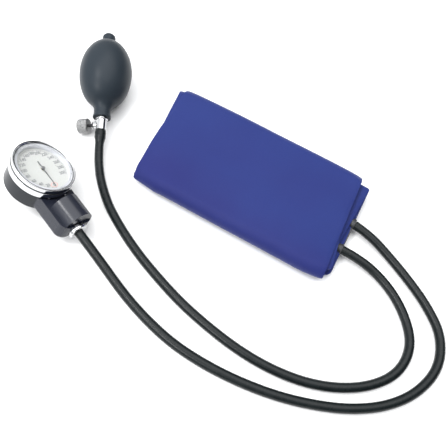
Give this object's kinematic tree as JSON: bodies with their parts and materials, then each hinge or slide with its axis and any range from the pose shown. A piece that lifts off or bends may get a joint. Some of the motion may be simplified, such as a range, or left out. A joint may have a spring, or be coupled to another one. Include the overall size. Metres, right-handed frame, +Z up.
{
  "type": "aneroid sphygmomanometer",
  "caption": "Blood pressure set: round dial gauge and squeeze bulb with release valve, on hoses to a rolled cloth cuff, with a geared movement that turns the pointer.",
  "frame": {"origin": "on the rolled cuff's flat underside, halfway along it and in line with its hose tab", "axes": "+X along the cuff's roll towards the hoses, +Z up from the table"},
  "size_m": [0.3392, 0.1883, 0.0417],
  "materials": {
    "cuff_cloth": "woven nylon, soft sheen",
    "bladder_rubber": "matt",
    "hook_tape": "stiff hooks",
    "loop_tape": "napped loops",
    "hose_rubber": "matt extruded",
    "bulb_rubber": "satin moulded",
    "seal_rubber": "matt",
    "chrome": "polished plate",
    "black_metal": "blackened",
    "brass": "machined",
    "bronze": "spring temper",
    "steel": "turned",
    "case_plastic": "satin moulded",
    "lens_clear": "polished",
    "dial_white": "printed enamel",
    "ring_white": "satin",
    "pointer_black": "matt paint"
  },
  "bodies": {
    "root": {"cuff_sleeve": "cuff_cloth", "bladder": "bladder_rubber", "hook_patch": "hook_tape", "loop_patch": "loop_tape", "bulb_hose": "hose_rubber", "gauge_hose": "hose_rubber", "bulb_hose_sleeve": "hose_rubber", "bulb": "bulb_rubber", "inlet_valve_body": "brass", "inlet_cage": "brass", "valve_body": "chrome", "outlet_seat": "brass", "outlet_cage": "brass", "gland_nut": "black_metal", "gauge_case": "case_plastic", "stem_block": "case_plastic", "block_screws": "steel", "hose_connector": "chrome", "bezel": "chrome", "lens": "lens_clear", "lens_gasket": "seal_rubber", "dial_plate": "dial_white", "dial_ring": "ring_white", "dial_screws": "steel", "air_bar": "brass", "capsule_lower": "bronze", "base_plate": "brass", "top_plate": "brass", "pillars": "brass", "plate_screws": "steel", "movement_screws": "steel", "hairspring": "bronze", "hairspring_stud": "brass"},
    "sector": {"sector_gear": "brass"},
    "pointer_shaft": {"pinion_arbor": "steel", "pointer": "pointer_black"},
    "rocker": {"rocking_shaft": "steel"},
    "capsule_crown": {"capsule_upper": "bronze", "push_button": "steel"},
    "inlet_ball": {"inlet_ball": "steel"},
    "outlet_ball": {"outlet_ball": "steel"},
    "stem_seal": {"stem_seal": "seal_rubber"},
    "thumbscrew": {"release_screw": "chrome", "release_knob": "chrome"}
  },
  "joints": [
    {"name": "sector_swing", "type": "hinge", "parent": "root", "child": "sector", "pos_m": [-0.13917, -0.09009, 0.01691], "axis": [0.3076, 0.3923, 0.8669], "range_deg": [0, 30], "stiffness_Nm_per_rad": 0.00004},
    {"name": "pointer_turn", "type": "hinge", "parent": "root", "child": "pointer_shaft", "pos_m": [-0.1275, -0.0872, 0.01146], "axis": [-0.3076, -0.3923, -0.8669], "range_deg": [0, 300]},
    {"name": "rocker_tilt", "type": "hinge", "parent": "root", "child": "rocker", "pos_m": [-0.13339, -0.07953, 0.02266], "axis": [-0.2254, -0.8551, 0.4669], "range_deg": [0, 21.1]},
    {"name": "capsule_lift", "type": "slide", "parent": "root", "child": "capsule_crown", "axis": [0.3076, 0.3923, 0.8669], "range_m": [0, 0.0018]},
    {"name": "inlet_ball_lift", "type": "slide", "parent": "root", "child": "inlet_ball", "axis": [0.4772, -0.8538, -0.2079], "range_m": [0, 0.0008]},
    {"name": "outlet_ball_lift", "type": "slide", "parent": "root", "child": "outlet_ball", "axis": [0.4772, -0.8538, -0.2079], "range_m": [0, 0.0008]},
    {"name": "thumbscrew_travel", "type": "slide", "parent": "root", "child": "stem_seal", "axis": [-0.8584, -0.4022, -0.3185], "range_m": [0, 0.0014]},
    {"name": "thumbscrew_turn", "type": "hinge", "parent": "stem_seal", "child": "thumbscrew", "pos_m": [-0.1195, -0.0166, 0.01152], "axis": [-0.8584, -0.4022, -0.3185], "range_deg": [0, 720]}
  ],
  "couplings": [
    {"joint": "pointer_turn", "follows": "sector_swing", "ratio": 10},
    {"joint": "rocker_tilt", "follows": "sector_swing", "ratio": 0.70333},
    {"joint": "capsule_lift", "follows": "sector_swing", "m_per_rad": 0.0034377},
    {"joint": "thumbscrew_travel", "follows": "thumbscrew_turn", "m_per_rad": 0.00011141}
  ]
}
